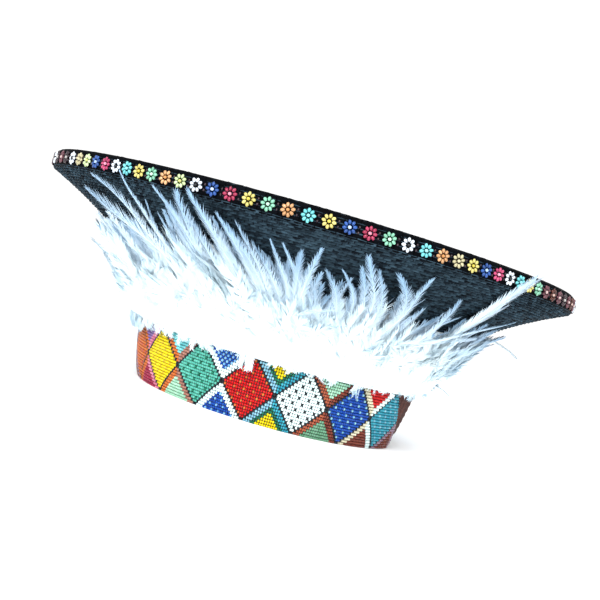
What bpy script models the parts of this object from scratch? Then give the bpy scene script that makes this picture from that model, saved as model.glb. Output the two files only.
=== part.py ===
"""Isicholo hat: a wide flared basket crown on a head ring, trimmed with beads and feathers.

Metres, +Z up. The hat stands on its head opening with the wide crown uppermost. The origin is on
the hat's axis, at the height of the bead strip's lower edge. Angles go round from -Y towards +X,
so that the bead strip's open end, where the ring shows, is on the +X side.
"""

import math

import bmesh
import bpy

# Driving dimensions, in metres
CLEARANCE = 0.0003  # between pieces that touch

HEAD_R = 0.0926  # inside of the head ring at its hem, for a 58 cm head
RING_WALL = 0.005  # coiled grass under cotton, as thick as a finger's edge
RING_TOP = 0.0447  # height of the seam between head ring and flare
HEM_RISE = 0.008  # the strip hangs this far below the ring's hem
BAND_SPREAD = 0.0115  # how much wider the band is at the seam than at its foot
BAND_CURL = 0.65  # under 1, the band curls in towards its foot

STRIP_WALL = 0.0026  # one layer of beads on its backing
STRIP_DROP = 0.0012  # from the seam down to the strip's upper edge
STRIP_GAP = 0.0723  # between the strip's two ends, halfway up
STRIP_SLANT = 0.0325  # the front end leans this far outwards at its foot
STRIP_END = math.radians(62.6)  # place of the front end, halfway up

RIM_R = 0.1933  # outside of the flare's upright rim
FLARE_RISE = 0.0823  # from the seam to the underside of the rim
FLARE_LEAN = 0.25  # share of the flare that is a straight cone
FLARE_POWER = 2.4  # the rest opens like a trumpet, by this power
FLARE_WALL = 0.004
RIM_HEIGHT = 0.0124
RIM_ROUND = 0.003  # radius of the rim's upper edge
RIM_WALL = 0.005
LEDGE_WIDTH = 0.008  # carries the crown's edge, inside the rim

CROWN_WALL = 0.004
CROWN_DROP = 0.002  # from the rim's top down to the crown's edge
CROWN_DISH = 0.006  # the crown sags this far at its middle

ROSETTE_WIDTH = 0.0086
ROSETTE_SPACE = 0.00225  # between two rosettes
ROSETTE_DEPTH = 0.0024
ROSETTE_BEVEL = 0.7  # height of its outer face, as a share of its inner one
ROSETTE_PHASE = math.radians(-1.1)  # place of the first one
CORD_HEIGHT = 0.0026  # beaded cord that carries the rosettes
CORD_DEPTH = 0.001

FEATHER_DROP = 0.004  # the feathers cover this much of the strip
FEATHER_PUFF = 0.021  # depth of the fullest lock over the flare
FEATHER_LEAN = math.radians(-5)  # how far round the tips lean
TIP_STAND = 0.004  # from the flare to a lock's tip
LOCKS = 48

# Shape of the strip's and ring's height, as shares of RING_TOP
BAND_LEVELS = (0.0, 0.15, 0.5, 1.0)
# Places along the flare, as shares of FLARE_RISE
FLARE_LEVELS = (0.0, 0.25, 0.45, 0.62, 0.77, 0.89, 1.0)
# Places along the crown's dish, as shares of its radius
CROWN_LEVELS = (0.0, 0.35, 0.7, 1.0)
ROUND_SEGMENTS = 64

# Stations of one rosette: place (share of its width from its middle), half height (share of half its
# width) and depth (share of its depth). The cord's own station lies halfway between two rosettes.
ROSETTE_STATIONS = ((-0.36, 0.62, 0.8), (0.0, 1.0, 1.0), (0.36, 0.62, 0.8))

# Stations of one lock: place (share of the lock), rise (share of its tip) and puff (share of its own)
LOCK_STATIONS = ((0.0, 0.74, 0.72), (0.38, 1.0, 0.9), (0.64, 0.9, 1.0))
# Outside of a lock: rise (share of the tip's rise) and depth (share of the puff)
LOCK_OUTSIDE = ((0.82, 0.7), (0.5, 1.0), (0.16, 0.84))
# Inside of a lock, where it lies on the flare: rise (share of the tip's rise)
LOCK_INSIDE = (0.3, 0.62)
ROOT_PUFF = 0.3  # the lock's depth at its root, as a share of the puff

# Locks from the left side round the front to the right side: rise of the tip (share of FLARE_RISE)
# and puff (share of FEATHER_PUFF). The back repeats them.
LOCK_TABLE = (
    (0.80, 1.00),
    (0.74, 0.96),
    (0.84, 1.00),
    (0.78, 0.92),
    (0.90, 1.00),
    (0.94, 0.94),
    (0.88, 0.90),
    (0.95, 0.98),
    (0.97, 0.92),
    (0.91, 0.88),
    (0.87, 0.94),
    (0.84, 0.86),
    (0.88, 0.90),
    (0.79, 0.84),
    (0.90, 0.92),
    (0.83, 0.86),
    (0.90, 0.84),
    (0.76, 0.80),
    (0.85, 0.78),
    (0.74, 0.72),
    (0.90, 0.76),
    (0.70, 0.66),
    (0.78, 0.62),
    (0.66, 0.70),
)


def clear_scene():
    for obj in list(bpy.data.objects):
        bpy.data.objects.remove(obj, do_unlink=True)


def material(name, colour, roughness, metallic=0.0):
    """A Principled material of one linear colour."""
    mat = bpy.data.materials.new(name)
    mat.use_nodes = True
    shader = mat.node_tree.nodes["Principled BSDF"]
    shader.inputs["Base Color"].default_value = (*colour, 1.0)
    shader.inputs["Roughness"].default_value = roughness
    shader.inputs["Metallic"].default_value = metallic
    return mat


def at(radius, angle, height):
    """A point at this radius, this angle from -Y towards +X, and this height."""
    return (radius * math.sin(angle), -radius * math.cos(angle), height)


def loft(name, loops, mat, closed=True, sharp=math.radians(40)):
    """One closed body through loops of (radius, angle, height) points, round the axis or capped."""
    bm = bmesh.new()
    rows = [[bm.verts.new(at(*point)) for point in loop] for loop in loops]
    count = len(rows[0])
    following = rows[1:] + rows[:1] if closed else rows[1:]
    for here, there in zip(rows, following):
        for i in range(count):
            j = (i + 1) % count
            bm.faces.new((here[i], here[j], there[j], there[i]))
    if not closed:
        bm.faces.new(rows[0])
        bm.faces.new(rows[-1])
    return finish(name, bm, mat, sharp)


def turned(name, profile, mat, sharp=math.radians(40)):
    """A body turned round the axis from a closed outline of (radius, height) points."""
    turn = 2 * math.pi / ROUND_SEGMENTS
    loops = [[(r, k * turn, z) for r, z in profile] for k in range(ROUND_SEGMENTS)]
    return loft(name, loops, mat, sharp=sharp)


def finish(name, bm, mat, sharp):
    bmesh.ops.remove_doubles(bm, verts=bm.verts, dist=1e-6)
    bmesh.ops.triangulate(bm, faces=bm.faces)
    bmesh.ops.recalc_face_normals(bm, faces=bm.faces)
    mesh = bpy.data.meshes.new(name)
    bm.to_mesh(mesh)
    bm.free()
    mesh.shade_smooth()
    mesh.set_sharp_from_angle(angle=sharp)
    mesh.materials.append(mat)
    obj = bpy.data.objects.new(name, mesh)
    bpy.context.scene.collection.objects.link(obj)
    return obj


def band_spread(height):
    """How far the band has widened at a height, from its foot."""
    return BAND_SPREAD * (height / RING_TOP) ** BAND_CURL


def ring_inside(height):
    return HEAD_R + band_spread(height) - band_spread(HEM_RISE)


def ring_outside(height):
    return ring_inside(height) + RING_WALL


def strip_outside(height):
    return ring_outside(height) + CLEARANCE + STRIP_WALL


def flare_point(share):
    """Outer (radius, height) of the flare at a share of its rise."""
    foot = ring_outside(RING_TOP)
    opened = FLARE_LEAN * share + (1 - FLARE_LEAN) * share**FLARE_POWER
    return foot + (RIM_R - foot) * opened, RING_TOP + CLEARANCE + FLARE_RISE * share


def flare_face(share):
    """Outer (radius, height) at a share of the rise, on the straight facets between the levels."""
    low = max(level for level in FLARE_LEVELS[:-1] if level <= share)
    high = FLARE_LEVELS[FLARE_LEVELS.index(low) + 1]
    part = (share - low) / (high - low)
    ends = zip(flare_point(low), flare_point(high))
    return tuple(start + (end - start) * part for start, end in ends)


def flare_inner_point(share):
    """The flare's inner face: a wall's thickness in from the outer one, square to it."""
    step = 0.001
    r, z = flare_point(share)
    r_on, z_on = flare_point(share + step)
    length = math.hypot(r_on - r, z_on - z)
    return r - FLARE_WALL * (z_on - z) / length, z + FLARE_WALL * (r_on - r) / length


def rim_top():
    return flare_point(1.0)[1] + RIM_HEIGHT


def ledge_height():
    """The step that the crown's edge lies on."""
    return rim_top() - CROWN_DROP - CROWN_WALL - CLEARANCE


def build_head_ring():
    """Plain brown base ring, which shows only where the bead strip ends."""
    levels = [HEM_RISE + (RING_TOP - HEM_RISE) * share for share in BAND_LEVELS]
    outside = [(ring_outside(z), z) for z in levels]
    inside = [(ring_inside(z), z) for z in reversed(levels)]
    mat = material("brown_thread_wound_ring", (0.045, 0.018, 0.014), 0.85)
    return turned("head_ring", outside + inside, mat)


def build_bead_strip():
    """Bead strip round the ring, open at one side, with a slanted front end."""
    top = RING_TOP - STRIP_DROP
    levels = [top * share for share in BAND_LEVELS]
    face = [(strip_outside(z), z) for z in levels]
    back = [(r - STRIP_WALL, z) for r, z in reversed(face)]
    middle = strip_outside(top / 2)
    turn = 2 * math.pi - STRIP_GAP / middle
    slant = STRIP_SLANT / middle
    steps = round(ROUND_SEGMENTS * turn / (2 * math.pi))
    loops = []
    for k in range(steps + 1):
        share = k / steps
        loops.append([
            (r, STRIP_END - turn * (1 - share) + slant * (0.5 - z / top) * share, z)
            for r, z in face + back
        ])
    mat = material("seed_beads", (0.42, 0.35, 0.12), 0.25)
    return loft("bead_strip", loops, mat, closed=False)


def build_flare():
    """Thread-wound basket wall that opens like a trumpet, with its upright rim and inner ledge."""
    top = rim_top()
    ledge = ledge_height()
    outside = [flare_point(share) for share in FLARE_LEVELS]
    corner = [
        (
            RIM_R - RIM_ROUND * (1 - math.cos(turn)),
            top - RIM_ROUND * (1 - math.sin(turn)),
        )
        for turn in (0, math.pi / 6, math.pi / 3, math.pi / 2)
    ]
    rim_inside = RIM_R - RIM_WALL
    step = [(rim_inside, top), (rim_inside, ledge), (rim_inside - LEDGE_WIDTH, ledge)]
    inner = [flare_inner_point(share) for share in reversed(FLARE_LEVELS)]
    inside = [point for point in inner if point[0] < rim_inside - LEDGE_WIDTH - CLEARANCE]
    foot = (inside[-1][0], outside[0][1])
    mat = material("black_thread_coil", (0.006, 0.007, 0.011), 0.6)
    profile = outside + corner + step + inside[:-1] + [foot]
    return turned("flare", profile, mat)


def build_crown_top():
    """Slightly dished disc that closes the crown, its flat border lying on the rim's ledge."""
    radius = RIM_R - RIM_WALL - CLEARANCE
    dished = radius - LEDGE_WIDTH
    edge = rim_top() - CROWN_DROP
    upper = [(dished * s, edge - CROWN_DISH * (1 - s * s)) for s in CROWN_LEVELS]
    upper.append((radius, edge))
    lower = [(r, z - CROWN_WALL) for r, z in reversed(upper)]
    mat = material("black_thread_crown", (0.006, 0.007, 0.011), 0.6)
    return turned("crown_top", upper + lower, mat)


def build_rosette_chain():
    """Closed chain of raised bead rosettes round the rim, fused to the cord that carries them."""
    middle = flare_point(1.0)[1] + (RIM_HEIGHT - RIM_ROUND) / 2
    inside = RIM_R + CLEARANCE
    around = 2 * math.pi * inside
    quarter = round(around / (ROSETTE_WIDTH + ROSETTE_SPACE) / 4)
    pitch = 2 * math.pi / (4 * quarter)
    half = ROSETTE_WIDTH / 2
    stations = [(-pitch / 2, CORD_HEIGHT / 2, CORD_DEPTH)]
    for place, height, depth in ROSETTE_STATIONS:
        stations.append((place * ROSETTE_WIDTH / inside, height * half, depth * ROSETTE_DEPTH))
    loops = []
    for k in range(4 * quarter):
        for turn, height, depth in stations:
            angle = ROSETTE_PHASE + k * pitch + turn
            loops.append([
                (inside, angle, middle - height),
                (inside, angle, middle + height),
                (inside + depth, angle, middle + height * ROSETTE_BEVEL),
                (inside + depth, angle, middle - height * ROSETTE_BEVEL),
            ])
    mat = material("rosette_beads", (0.35, 0.30, 0.14), 0.25)
    return loft("rosette_chain", loops, mat)


def lock_section(angle, rise, puff):
    """Closed outline of the feather trim at one station, root first and up the inside."""
    top = RING_TOP - STRIP_DROP
    root = top - FEATHER_DROP
    shelf = top + CLEARANCE
    section = [
        (strip_outside(root) + CLEARANCE, angle, root),
        (strip_outside(top) + CLEARANCE, angle, shelf),
        (ring_outside(RING_TOP) + CLEARANCE, angle, shelf),
    ]
    for share in LOCK_INSIDE:
        r, z = flare_face(share * rise)
        section.append((r + CLEARANCE, angle + FEATHER_LEAN * share, z))
    r, z = flare_face(rise)
    section.append((r + TIP_STAND, angle + FEATHER_LEAN, z))
    for share, depth in LOCK_OUTSIDE:
        r, z = flare_face(share * rise)
        section.append((r + puff * depth, angle + FEATHER_LEAN * share, z))
    section.append((strip_outside(root) + CLEARANCE + puff * ROOT_PUFF, angle, root))
    return section


def build_feather_trim():
    """Locks of feather standing on a backing ring that sits on the strip and against the flare."""
    step = 2 * math.pi / LOCKS
    loops = []
    for k in range(LOCKS):
        tip, puff = LOCK_TABLE[k % len(LOCK_TABLE)]
        for place, rise_share, puff_share in LOCK_STATIONS:
            angle = -math.pi / 2 + (k + place) * step
            loops.append(lock_section(angle, rise_share * tip, puff_share * puff * FEATHER_PUFF))
    mat = material("white_feathers", (0.80, 0.85, 0.92), 0.7)
    return loft("feather_trim", loops, mat, sharp=math.radians(60))


def main():
    clear_scene()
    build_head_ring()
    build_bead_strip()
    build_flare()
    build_crown_top()
    build_rosette_chain()
    build_feather_trim()


main()
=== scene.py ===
from math import atan2, cos, hypot, pi, radians, sin

import bpy
import numpy as np
from mathutils import Matrix, Vector


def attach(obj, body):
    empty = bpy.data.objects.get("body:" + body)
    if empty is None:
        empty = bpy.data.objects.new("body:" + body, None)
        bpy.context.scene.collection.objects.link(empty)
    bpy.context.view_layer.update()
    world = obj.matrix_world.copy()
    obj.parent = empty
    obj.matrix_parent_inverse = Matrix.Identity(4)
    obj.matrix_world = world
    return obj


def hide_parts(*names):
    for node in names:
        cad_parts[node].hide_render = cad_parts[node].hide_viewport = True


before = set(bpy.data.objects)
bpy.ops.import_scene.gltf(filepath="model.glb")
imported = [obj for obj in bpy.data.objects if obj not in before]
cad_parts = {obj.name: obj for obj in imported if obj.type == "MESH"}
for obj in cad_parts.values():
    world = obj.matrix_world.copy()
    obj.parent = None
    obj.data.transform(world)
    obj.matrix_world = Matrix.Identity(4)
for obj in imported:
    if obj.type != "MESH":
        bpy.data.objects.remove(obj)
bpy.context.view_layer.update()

# An isicholo: a wide hat of black cotton wound over coils, with a beaded strip round its foot,
# bead rosettes round its rim and a ring of white feathers. All lengths are metres, and an angle
# is read from the front (-Y) towards the right side (+X).

# -------- sizes of the hat
HEAD_RADIUS = 0.0926
RING_WALL = 0.005
RING_TOP = 0.0447
HEM_RISE = 0.008
BAND_SPREAD = 0.0115
BAND_CURL = 0.65
GAP = 0.0003

STRIP_WALL = 0.0026
STRIP_TOP = 0.0435
STRIP_OPENING = 0.0723
STRIP_SLANT = 0.0325
STRIP_END = radians(62.6)

FLARE_FOOT = 0.045
FLARE_RISE = 0.0823
FLARE_LEAN = 0.25
FLARE_POWER = 2.4
FLARE_WALL = 0.004
RIM_RADIUS = 0.1933
RIM_HEIGHT = 0.0112  # the wound edge sits 1.2 mm lower than the plain rim it covers
RIM_ROUND = 0.003
RIM_WALL = 0.005
LEDGE_WIDTH = 0.008
CROWN_WALL = 0.004
CROWN_DROP = 0.002
CROWN_DISH = 0.006

RIM_FOOT = FLARE_FOOT + FLARE_RISE
RIM_TOP = RIM_FOOT + RIM_HEIGHT

ROW_PITCH = 0.00275  # from one wound coil to the next
ROW_DEPTH = 0.0006
COIL_START = 0.006  # the coil's ridges die away over this much at its middle
SEAM_GAP = 2e-5  # points that lie closer than this where a wall closes are one point


def band_spread(height):
    """How far the band has opened at a height."""
    return BAND_SPREAD * (height / RING_TOP) ** BAND_CURL


def ring_outside(height):
    """Radius of the base ring's outer face at a height."""
    return HEAD_RADIUS + band_spread(height) - band_spread(HEM_RISE) + RING_WALL


def strip_outside(height):
    """Radius of the bead strip's outer face at a height."""
    return ring_outside(height) + GAP + STRIP_WALL


def flare_outline(share):
    """Radius and height of the flare's outer face at a share of its rise."""
    foot = ring_outside(RING_TOP)
    opened = FLARE_LEAN * share + (1 - FLARE_LEAN) * share**FLARE_POWER
    return foot + (RIM_RADIUS - foot) * opened, FLARE_FOOT + FLARE_RISE * share


def around(radius, angle, height):
    """Points at a radius, an angle from the front and a height."""
    radius, angle, height = np.broadcast_arrays(radius, angle, height)
    return np.stack([radius * np.sin(angle), -radius * np.cos(angle), height], axis=-1)


def unit(vectors):
    """Directions, each brought to a length of one."""
    return vectors / np.linalg.norm(vectors, axis=-1, keepdims=True)


def sideways(angle):
    """Directions that run round the hat to the right, at angles from the front."""
    return np.stack([np.cos(angle), np.sin(angle), np.zeros_like(angle)], axis=-1)


def along_line(line):
    """How far along itself each point of a line lies."""
    return np.concatenate([[0], np.cumsum(np.linalg.norm(np.diff(line, axis=0), axis=1))])


def read_off(spots, known, rows):
    """A table's rows, read at and between the known spots."""
    columns = [np.interp(spots, known, column) for column in np.transpose(rows)]
    return np.stack(columns, axis=-1)


def quads(rows, columns, closed=False):
    """Corners of the faces between rows of points, where each row runs in a ring."""
    for j in range(rows if closed else rows - 1):
        low, high = j * columns, (j + 1) % rows * columns
        for k in range(columns):
            after = (k + 1) % columns
            yield low + k, low + after, high + k, high + after


# -------- nodes, shared helpers
def linear(code):
    """An sRGB hex colour as linear RGBA."""
    parts = [int(code[k:k + 2], 16) / 255 for k in (1, 3, 5)]
    return (*[c / 12.92 if c <= 0.04045 else ((c + 0.055) / 1.055) ** 2.4 for c in parts], 1.0)


# A node's type is its family and its kind. Geometry comes first, for a kind that is in two.
FAMILIES = ("GeometryNode", "ShaderNode", "FunctionNode")


def add(tree, kind, inputs=None, **settings):
    """Add a node of a kind, such as "Mix" or "Math SINE"; an input is a value, node or socket."""
    kind, *operation = kind.split()
    node = tree.nodes.new(next(f + kind for f in FAMILIES if hasattr(bpy.types, f + kind)))
    for key, value in (*settings.items(), *(("operation", which) for which in operation)):
        setattr(node, key, value)
    for key, value in (inputs or {}).items():
        if isinstance(key, int):
            socket = node.inputs[key]
        else:
            socket = next(s for s in node.inputs if s.name == key and s.enabled)
        if isinstance(value, bpy.types.Node):
            value = next(s for s in value.outputs if s.enabled)
        if isinstance(value, bpy.types.NodeSocket):
            tree.links.new(value, socket)
        else:
            socket.default_value = value
    return node


def new_tree(name, **sizes):
    """An empty geometry tree with named inputs, and the sockets that bring them in."""
    tree = bpy.data.node_groups.new(name, "GeometryNodeTree")
    for way, label, kind in (("OUTPUT", "Geometry", "Geometry"), ("INPUT", "Geometry", "Geometry"),
                             *(("INPUT", *size) for size in sizes.items())):
        tree.interface.new_socket(label.replace("_", " "), in_out=way,
                                  socket_type="NodeSocket" + kind)
    return tree, tree.nodes.new("NodeGroupInput").outputs


def close_tree(tree, geometry, finish):
    """Smooth what was made, realize it, give it its material and send it out."""
    smooth = add(tree, "SetShadeSmooth", {"Geometry": geometry})
    real = add(tree, "RealizeInstances", {"Geometry": smooth})
    dressed = add(tree, "SetMaterial", {"Geometry": real, "Material": finish})
    out = tree.nodes.new("NodeGroupOutput")
    tree.links.new(dressed.outputs[0], out.inputs[0])


def raw_mesh(name, points, edges=(), faces=(), **marks):
    """A mesh from points, with one named value or direction per point for each mark."""
    mesh = bpy.data.meshes.new(name)
    mesh.from_pydata(np.asarray(points, float).tolist(), list(edges), list(faces))
    for label, values in marks.items():
        values = np.asarray(values, float)
        kind, field = ("FLOAT", "value") if values.ndim == 1 else ("FLOAT_VECTOR", "vector")
        mesh.attributes.new(label, kind, "POINT").data.foreach_set(field, values.ravel())
    return mesh


def piece(name, mesh):
    """Put a mesh, a lamp or a camera in the scene."""
    obj = bpy.data.objects.new(name, mesh)
    bpy.context.scene.collection.objects.link(obj)
    return obj


def grown(name, tree, base, **values):
    """Run a geometry tree on a base mesh and keep its result as a plain mesh object."""
    source = piece(name + "_base", base)
    grow = source.modifiers.new("grow", "NODES")
    grow.node_group = tree
    for item in tree.interface.items_tree:
        label = item.name.replace(" ", "_")
        if item.in_out == "INPUT" and label in values:
            grow[item.identifier] = values[label]
    bpy.context.view_layer.update()
    ready = source.evaluated_get(bpy.context.evaluated_depsgraph_get())
    mesh = bpy.data.meshes.new_from_object(ready)
    source.modifiers.remove(grow)
    bpy.data.objects.remove(source)
    bpy.data.meshes.remove(base)
    for label in ("facing", "along", "size", "width"):
        if label in mesh.attributes:
            mesh.attributes.remove(mesh.attributes[label])
    mesh.name = name
    return piece(name, mesh)


def settle(obj, node):
    """Hand a finished piece to the frame: it rides on the hat in place of a CAD piece."""
    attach(obj, "root")
    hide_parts(node)


# -------- materials
# Real sizes of the finishes' patterns. Noise and checks have one patch in 1 / scale, and a wave
# texture has one band in pi / 10 / scale.
FADED_PATCH = 0.0263  # cotton that the light has faded alike
DRAWN_TWIST = 0.0012083  # a thread's 0.5 mm twist is too fine to show, so it is drawn coarser
CANE_STREAK = 0.0011111  # streaks in the glass, from drawing the cane
DOWN_CLUMP = 0.022222  # barbs that lie alike
DRAWN_WEAVE = 0.0011111  # the cloth's 0.3 mm threads are too fine to show, so they are coarser
FLOOR_PATCH = 0.33333
# These two are counted in turns of the ring's thread, which the lay mark numbers.
MOTTLE_TURNS = 1.1111
TURN_BAND = 0.987


def new_material(name, **shader_inputs):
    """A Principled material with constant values on its sockets, and its node tree."""
    mat = bpy.data.materials.new(name)
    mat.use_nodes = True
    shader = mat.node_tree.nodes["Principled BSDF"]
    for label, value in shader_inputs.items():
        shader.inputs[label.replace("_", " ")].default_value = value
    return mat, mat.node_tree


def dress(tree, low, high, share, height=None, strength=0.0, depth=0.0):
    """Colour a material between two colours by a share, and raise a pattern on it."""
    low, high = (linear(tint) if isinstance(tint, str) else tint for tint in (low, high))
    colour = add(tree, "Mix", {"Factor": share, "A": low, "B": high}, data_type="RGBA").outputs[2]
    shader = tree.nodes["Principled BSDF"]
    tree.links.new(colour, shader.inputs["Base Color"])
    if height is not None:
        bump = add(tree, "Bump", {"Height": height, "Strength": strength, "Distance": depth})
        tree.links.new(bump.outputs[0], shader.inputs["Normal"])


def black_cotton(part, low="#0c1117", high="#455d6c", wound=False):
    """Mercerised cotton, wound tight and over-stitched: near-black blue thread whose soft gloss
    picks out each stitch, a little greyer where the light has faded it."""
    mat, tree = new_material("mercerised_cotton_" + part, Roughness=0.7, Specular_IOR_Level=0.02)
    here = add(tree, "TexCoord").outputs["Object"]
    fade = add(tree, "TexNoise", {"Vector": here, "Scale": 1 / FADED_PATCH, "Detail": 3.0})
    if wound:
        lay = add(tree, "Attribute", attribute_name="lay").outputs["Vector"]
        bricks = add(tree, "TexBrick", {
            "Vector": lay, "Scale": 1.0, "Mortar Size": 0.09, "Mortar Smooth": 0.8,
            "Brick Width": 1.0, "Row Height": 1.0, "Color1": (0.25, 0.25, 0.25, 1),
            "Color2": (0.9, 0.9, 0.9, 1), "Mortar": (0, 0, 0, 1)})
        thread, relief = bricks.outputs["Color"], 0.0007
        height = add(tree, "Math SUBTRACT", {0: 1.0, 1: bricks.outputs["Fac"]})
    else:
        thread = add(tree, "Attribute", attribute_name="shade").outputs["Fac"]
        relief = 0.0002
        height = add(tree, "TexWave", {"Vector": here, "Scale": pi / 10 / DRAWN_TWIST,
                     "Distortion": 3.0, "Detail": 2.0}, bands_direction="DIAGONAL")
    share = add(tree, "Math MULTIPLY", {0: thread, 1: fade})
    dress(tree, low, high, share, height, strength=0.6, depth=relief)
    return mat


def brown_cotton():
    """Brown cotton thread wound upright over the base ring: matt, fuzzy, mottled red and dark."""
    mat, tree = new_material("brown_cotton_wound", Roughness=0.8, Specular_IOR_Level=0.1,
                             Sheen_Weight=0.03)
    lay = add(tree, "Attribute", attribute_name="lay").outputs["Vector"]
    long_lay = add(tree, "Mapping", {"Vector": lay, "Scale": (1.0, 0.16, 1.0)})
    mottle = add(tree, "TexNoise", {"Vector": long_lay, "Scale": 1 / MOTTLE_TURNS, "Detail": 4.0})
    spread = add(tree, "MapRange", {"Value": mottle, "From Min": 0.32, "From Max": 0.7})
    turns = add(tree, "TexWave", {"Vector": lay, "Scale": pi / 10 / TURN_BAND,
                "Distortion": 1.2, "Detail": 1.0}, bands_direction="X")
    dress(tree, "#241415", "#5c342b", spread, turns, strength=0.7, depth=0.0006)
    return mat


def strung_glass(name, low, high):
    """Opaque rocaille glass, moulded from cane and fire-polished: a hard clear gloss, with each
    bead of a string a little lighter or darker than the next."""
    mat, tree = new_material("rocaille_glass_" + name, Roughness=0.22, Coat_Weight=0.05,
                             Coat_Roughness=0.08, Specular_IOR_Level=0.2)
    here = add(tree, "TexCoord").outputs["Object"]
    streak = add(tree, "TexNoise", {"Vector": here, "Scale": 1 / CANE_STREAK, "Detail": 1.0})
    shade = add(tree, "Attribute", attribute_name="shade").outputs["Fac"]
    both = add(tree, "Math ADD", {0: shade, 1: streak})
    share = add(tree, "Math MULTIPLY", {0: both, 1: 0.5})
    dress(tree, low, high, share)
    return mat


def feather_down(name, low, high, tip):
    """Bleached hackle and down: bright matt white barbs that glow where the light comes through.
    Towards the tips they turn a cool grey-blue: painted shade, standing in for the dark wall seen
    through them."""
    mat, tree = new_material(name, Roughness=0.85, Sheen_Weight=0.2, Sheen_Roughness=0.6)
    here = add(tree, "TexCoord").outputs["Object"]
    drift = add(tree, "TexNoise", {"Vector": here, "Scale": 1 / DOWN_CLUMP, "Detail": 3.0})
    shade, tipward = (add(tree, "Attribute", attribute_name=mark).outputs["Fac"]
                      for mark in ("shade", "tipward"))
    share = add(tree, "Math MULTIPLY", {0: shade, 1: drift})
    body = add(tree, "Mix", {"Factor": share, "A": linear(high), "B": linear(low)},
               data_type="RGBA").outputs[2]
    # Painted shade: along each feather the colour turns to the grey-blue tip colour.
    thin = add(tree, "MapRange", {"Value": tipward, "From Min": 0.2, "From Max": 0.9})
    dress(tree, body, tip, thin, drift, strength=0.2, depth=0.001)
    return mat


def backing_cloth():
    """Closely woven cotton backing of the strip, seen only as dark lines between the beads."""
    mat, tree = new_material("woven_cotton_backing", Roughness=0.9)
    here = add(tree, "TexCoord").outputs["Object"]
    weave = add(tree, "TexChecker", {"Vector": here, "Scale": 1 / DRAWN_WEAVE}).outputs["Fac"]
    dress(tree, "#1b1a20", "#3a3236", weave, weave, strength=0.4, depth=0.0003)
    return mat


# -------- trees that make what repeats
def wound_wall_tree():
    """Turns an outline of (radius, 0, height) points round the axis, as rows of wound coil.
    Its 'lay' mark counts stitches round the hat and rows along the outline."""
    tree, given = new_tree("wound_wall", Row_pitch="Float", Row_depth="Float", Rounds="Int",
                           Samples_per_row="Int", Stitches_round="Float", Finish="Material")
    curve = add(tree, "MeshToCurve", {"Mesh": given["Geometry"]})
    length = add(tree, "CurveLength", {"Curve": curve}).outputs[0]
    asked = add(tree, "Math DIVIDE", {0: length, 1: given["Row pitch"]})
    rows = add(tree, "Math ROUND", {0: asked})
    steps = add(tree, "Math MULTIPLY_ADD", {0: rows, 1: given["Samples per row"], 2: 1.0})
    columns = add(tree, "Math ADD", {0: given["Rounds"], 1: 1.0})
    grid = add(tree, "MeshGrid", {"Size X": 1.0, "Size Y": 1.0,
               "Vertices X": columns, "Vertices Y": steps})
    flat = add(tree, "SeparateXYZ", {0: add(tree, "InputPosition")})
    turn_share, walk_share = (
        add(tree, "Math ADD", {0: flat.outputs[axis], 1: 0.5}, use_clamp=True) for axis in "XY")
    place = add(tree, "SampleCurve", {"Curves": curve, "Factor": walk_share})
    row = add(tree, "Math MULTIPLY", {0: walk_share, 1: rows})
    from_axis = add(tree, "SeparateXYZ", {0: place.outputs["Position"]}).outputs["X"]
    middle = add(tree, "Math DIVIDE", {0: from_axis, 1: COIL_START}, use_clamp=True)
    stand = row
    for operation, value in (("MULTIPLY", pi), ("SINE", 0), ("ABSOLUTE", 0),
                             ("SUBTRACT", 0.6), ("MULTIPLY", given["Row depth"]),
                             ("MULTIPLY", middle)):
        stand = add(tree, "Math " + operation, {0: stand, 1: value})
    outward = add(tree, "VectorMath CROSS_PRODUCT", {0: (0, 1, 0), 1: place.outputs["Tangent"]})
    stood = add(tree, "VectorMath MULTIPLY_ADD", {0: outward, 1: stand,
                2: place.outputs["Position"]})
    # The seam starts at the front, which is a quarter turn before the outline's own plane.
    angle = add(tree, "Math MULTIPLY_ADD", {0: turn_share, 1: 2 * pi, 2: -pi / 2})
    turned = add(tree, "VectorRotate", {"Vector": stood, "Angle": angle}, rotation_type="Z_AXIS")
    count = add(tree, "Math MULTIPLY", {0: turn_share, 1: given["Stitches round"]})
    lay = add(tree, "CombineXYZ", {"X": count, "Y": row})
    # The lay is marked on the face corners before the seam is merged, so it doesn't smear there.
    marked = add(tree, "StoreNamedAttribute", {
        "Geometry": grid.outputs["Mesh"], "Name": "lay", "Value": lay},
        data_type="FLOAT_VECTOR", domain="CORNER")
    bent = add(tree, "SetPosition", {"Geometry": marked, "Position": turned})
    sealed = add(tree, "MergeByDistance", {"Geometry": bent, "Distance": SEAM_GAP})
    close_tree(tree, sealed, given["Finish"])
    return tree


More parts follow.
